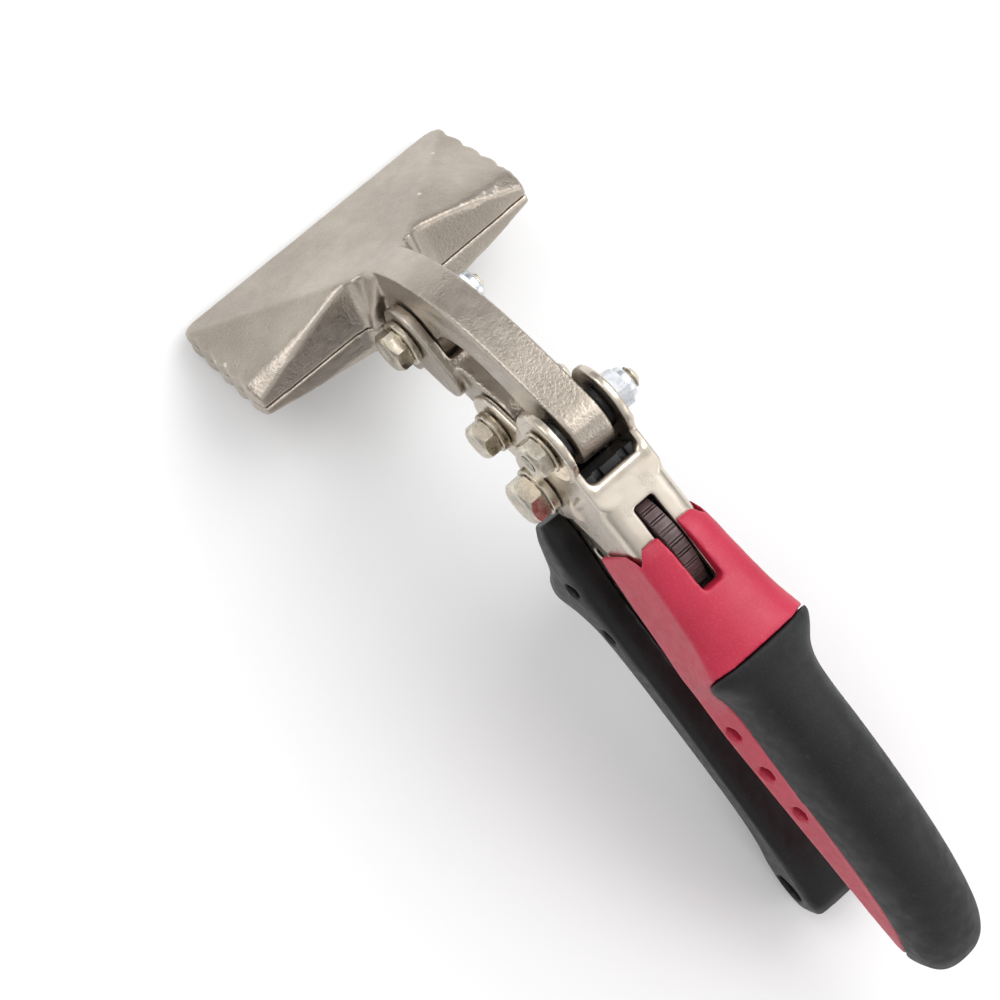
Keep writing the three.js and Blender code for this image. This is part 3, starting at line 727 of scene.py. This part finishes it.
# Handles. A station is x, half width, half width of the base, top, middle and bottom
def curveThrough(stations, x):  # smooth values between two stations
    for i in range(len(stations) - 1):
        a, b = stations[i], stations[i + 1]
        if a[0] >= x >= b[0]:
            before, after = stations[max(i - 1, 0)], stations[min(i + 2, len(stations) - 1)]
            t = (x - a[0]) / (b[0] - a[0])
            width = b[0] - a[0]
            values = []
            for k in range(1, len(a)):
                slopeA = (b[k] - before[k]) / (b[0] - before[0])
                slopeB = (after[k] - a[k]) / (after[0] - a[0])
                values.append(
                    (2 * t**3 - 3 * t**2 + 1) * a[k] + (t**3 - 2 * t**2 + t) * width * slopeA
                    + (3 * t**2 - 2 * t**3) * b[k] + (t**3 - t**2) * width * slopeB
                )
            return values
    return list(stations[-1][1:])


def grow(stations, shape, lengthSteps, aroundSteps, extra=0.0):
    bm = bmesh.new()
    bmesh.ops.create_grid(bm, x_segments=lengthSteps, y_segments=aroundSteps, size=1)
    first, last = stations[0][0], stations[-1][0]
    for v in bm.verts:  # the flat grid is wrapped round the stations
        along, around = (v.co.x + 1) / 2, (v.co.y + 1) * math.pi
        x = first + (last - first) * along
        half, base, top, middle, bottom = curveThrough(stations, x)
        crown, dome, foot = shape(x)
        c, s = math.cos(around), math.sin(around)
        if s > -1e-6:
            y = c * (half + extra)
            z = middle + (max(0, 1 - abs(c) ** crown)) ** (1 / dome) * (top - middle + extra)
        else:
            down = abs(s) ** (2 / foot)
            y = math.copysign(abs(c) ** (2 / foot), c) * (half + (base - half) * down + extra)
            z = middle - down * (middle - bottom + extra)
        v.co = (x, y, z)
    bmesh.ops.remove_doubles(bm, verts=bm.verts, dist=1e-3)
    bmesh.ops.holes_fill(bm, edges=bm.edges, sides=0)
    bmesh.ops.recalc_face_normals(bm, faces=bm.faces)
    if bm.calc_volume(signed=True) < 0:
        bmesh.ops.reverse_faces(bm, faces=bm.faces)
    return bm


upperGrip = {
    "stations": [
        (-27.6, 8.8, 11, 6.4, 3, -14.6), (-31, 9.4, 11.3, 8.2, 4.2, -15), (-37, 9.8, 11.7, 9, 5, -15.4),
        (-44, 10.4, 12, 9.8, 5.6, -16), (-51, 11.2, 12.3, 11, 6.2, -16.4), (-57, 12.5, 12.6, 12, 6.2, -16.8),
        (-59.5, 13, 12.6, 12, 5.6, -17), (-62, 12.2, 12.6, 11.3, 3.6, -17.1),
        (-65.5, 10.5, 12.7, 10, 0, -17.4),
        (-70, 9.7, 12.8, 9.4, -4, -17.6), (-77, 9.6, 12.8, 9.2, -6.5, -17.9),
        (-87, 9.8, 12.4, 8.8, -8, -18.3),
        (-99, 9.8, 12, 7.6, -9, -18.8), (-112, 9.8, 11.4, 5, -11, -19.6),
        (-124, 9.6, 10.8, 1.4, -13.5, -20.8),
        (-134, 9.2, 10, -3.4, -16, -22.8), (-141, 8.6, 9, -8, -18.3, -25), (-146, 7.2, 7.2, -12.2, -20, -26),
        (-148.4, 5.6, 5.6, -15.2, -20.8, -25.4), (-149.3, 4.4, 4.4, -16.8, -21, -24.6),
    ],
    "voxel": 0.48, "proud": 0.3,
    "palm": [
        (-57.3, 30), (-57.6, 12), (-58.2, 7.0), (-59.3, 3.5), (-60.9, 0.8), (-63, -1.5), (-66, -3.5),
        (-69, -4.8), (-75, -6), (-81, -6.6), (-90, -6.8), (-98, -7), (-106, -7.6), (-113, -8.4),
        (-119, -9.7), (-125, -11.4), (-130, -13.5), (-135, -16.4), (-139, -19.8), (-142.5, -24), (-144, -32),
    ],
}


def upperShape(x):  # a creased crown at the front, a full round in the palm
    front = min(1, max(0, (x + 64) / 9))
    return 2.4, 2.3 - 1.1 * front, 9


def palmBlock(drop):
    edge = [(x + drop, z - drop) for x, z in upperGrip["palm"]]
    return plate(edge + [(-165, -34), (-165, 30)], -22, 22)


def upperShell():
    body = grow(upperGrip["stations"], upperShape, 150, 140)
    tools = [palmBlock(0.12)]
    tools.append(plate([(-18, 4.75), (-61, 4.75), (-61, -7.5), (-54, -30), (-18, -30)], -8.75, 8.75))
    tools.append(block(-42.1, -20, -2.7, 2.7, 0, 20))
    body = combine(body, tools)
    body = combine(body, [rod((x, -12.6), 2, -20, 20) for x in (-75, -86.5, -98)])
    body = fair(body, upperGrip["voxel"], 2)
    seat(body, handlePlace, "upperGripRed", "upper_grip_shell", finishes["redShell"], 60)


def upperPad():
    body = grow(upperGrip["stations"], upperShape, 150, 140, upperGrip["proud"])
    body = combine(body, [palmBlock(-0.12)], "INTERSECT")
    body = fair(body, upperGrip["voxel"], 3)
    seat(body, handlePlace, "upperGripRubber", "upper_grip_pad", finishes["softGrip"], 60)


lowerGrip = {
    "stations": [
        (-17.6, 12, 12, -29.4, -33.6, -37.5), (-20.5, 13, 13, -28.8, -34.5, -40.5),
        (-24, 13.6, 13.6, -28.8, -35, -44),
        (-29, 13.9, 13.9, -30, -38, -50), (-32.5, 14, 14, -31, -43, -58), (-36.5, 14, 14, -32.4, -46, -61),
        (-41, 13.6, 13.6, -33.2, -42, -57), (-47, 13.4, 13.4, -34, -40, -51.5),
        (-58, 13.3, 13.3, -35, -40, -50),
        (-72, 13.3, 13.3, -36.5, -41, -50.5), (-88, 13.3, 13.3, -39, -43, -51.5),
        (-101, 13.3, 13.3, -41, -45.5, -53),
        (-110, 13.3, 13.3, -42.8, -48.5, -56.5), (-117, 13.3, 13.3, -44.2, -53, -61),
        (-125, 13.3, 13.3, -46.4, -56, -63),
        (-130.5, 13, 13, -48.4, -56, -61.5), (-133, 12, 12, -50.4, -55.5, -59),
    ],
    "voxel": 0.48, "ribs": 11, "flat": 13,
}


def lowerShape(x):
    return 7, 7, 3


def lowerShell():
    body = grow(lowerGrip["stations"], lowerShape, 130, 120)
    tools = [
        plate([(-8, -20), (-62, -20), (-62, -43.4), (-31.6, -43.4), (-21, -38.2), (-8, -38.2)], -6.6, 6.6),
        block(-103, -62.5, -9.3, 9.3, -70, -47.3),
        block(-140, -58, lowerGrip["flat"], 20, -80, -20),
        block(-140, -58, -20, -lowerGrip["flat"], -80, -20),
    ]
    body = combine(body, tools)
    hang = plate([(-124.5 + (0.8 if math.cos(a) > 0 else -0.8) + 3.2 * math.cos(a), -55 + 3.2 * math.sin(a))
                  for a in [math.tau * i / 48 for i in range(48)]], -20, 20)
    body = combine(body, [hang, rod((-34.2, -37), 2.1, -20, 20), rod((-48, -39.4), 2.1, -20, 20)])
    body = fair(body, lowerGrip["voxel"], 2)
    seat(body, handlePlace, "lowerGripBlack", "lower_grip_shell", finishes["blackShell"], 60)


def lowerPad():
    body = grow(lowerGrip["stations"], lowerShape, 130, 120, 0.25)
    body = combine(body, [block(-102.6, -62.9, -9, 9, -70, -47.6)], "INTERSECT")
    pitch = 38 / lowerGrip["ribs"]
    grooves = [
        rod((-64.8 - pitch * i, -51.9 - 0.045 * i), 0.7, -7.2, 7.2, 16) for i in range(lowerGrip["ribs"])
    ]
    body = combine(body, grooves)
    body = fair(body, 0.4, 2)
    seat(body, handlePlace, "lowerGripInsert", "lower_grip_pad", finishes["softGrip"], 60)


upperShell()
upperPad()
lowerShell()
lowerPad()
print("grips moulded")


# Floor, light and camera
studio = {"floor": 0.92, "horizon": 0.32, "zenith": 0.95, "key": 4.6, "fill": 2.2, "rim": 1.4}


def makeStudio():
    bm = bmesh.new()
    bmesh.ops.create_grid(bm, x_segments=4, y_segments=4, size=3)
    floor = asObject(bm, "floor")
    paper = bpy.data.materials.new("palePaper")
    paper.use_nodes = True
    nodes, links = paper.node_tree.nodes, paper.node_tree.links
    shader = nodes["Principled BSDF"]
    shader.inputs["Roughness"].default_value = 0.9
    shader.inputs["Specular IOR Level"].default_value = 0.1
    shade = studio["floor"]
    shader.inputs["Base Color"].default_value = (shade, shade, shade, 1)
    floor.data.materials.append(paper)
    world = bpy.data.worlds.new("softRoom")
    world.use_nodes = True
    sky, skyLinks = world.node_tree.nodes, world.node_tree.links
    facing = sky.new("ShaderNodeTexCoord")
    parts = sky.new("ShaderNodeSeparateXYZ")
    skyLinks.new(facing.outputs["Generated"], parts.inputs[0])
    rise = sky.new("ShaderNodeMapRange")
    for key, value in (
        ("From Min", 0.0), ("From Max", 1.0), ("To Min", studio["horizon"]), ("To Max", studio["zenith"])
    ):
        rise.inputs[key].default_value = value
    skyLinks.new(parts.outputs["Z"], rise.inputs["Value"])
    skyLinks.new(rise.outputs["Result"], sky["Background"].inputs["Strength"])
    sky["Background"].inputs["Color"].default_value = (0.985, 0.99, 1, 1)
    bpy.context.scene.world = world
    for name, place, size, power in (
        ("keyLight", (0.2, -0.5, 0.75), 0.75, studio["key"]),
        ("fillLight", (0.75, 0.35, 0.6), 0.6, studio["fill"]),
        ("rimLight", (-0.6, -0.5, 0.4), 0.5, studio["rim"]),
    ):
        lamp = bpy.data.lights.new(name, "AREA")
        lamp.shape = "SQUARE"
        lamp.size = size
        lamp.energy = power
        obj = bpy.data.objects.new(name, lamp)
        obj.location = place
        obj.rotation_euler = (-Vector(place) + Vector((0, 0, 0.04))).to_track_quat("-Z", "Y").to_euler()
        bpy.context.scene.collection.objects.link(obj)
    lens = bpy.data.cameras.new("camera")
    lens.lens = 96.94
    lens.sensor_width = 36
    lens.clip_start = 0.01
    camera = bpy.data.objects.new("camera", lens)
    camera.location = (0.07769, 0.14109, 0.60308)
    camera.rotation_euler = (0.086569, -0.21701, -2.280089)
    bpy.context.scene.collection.objects.link(camera)
    bpy.context.scene.camera = camera
    bpy.context.scene.view_settings.view_transform = "Standard"


makeStudio()
print("studio lit")
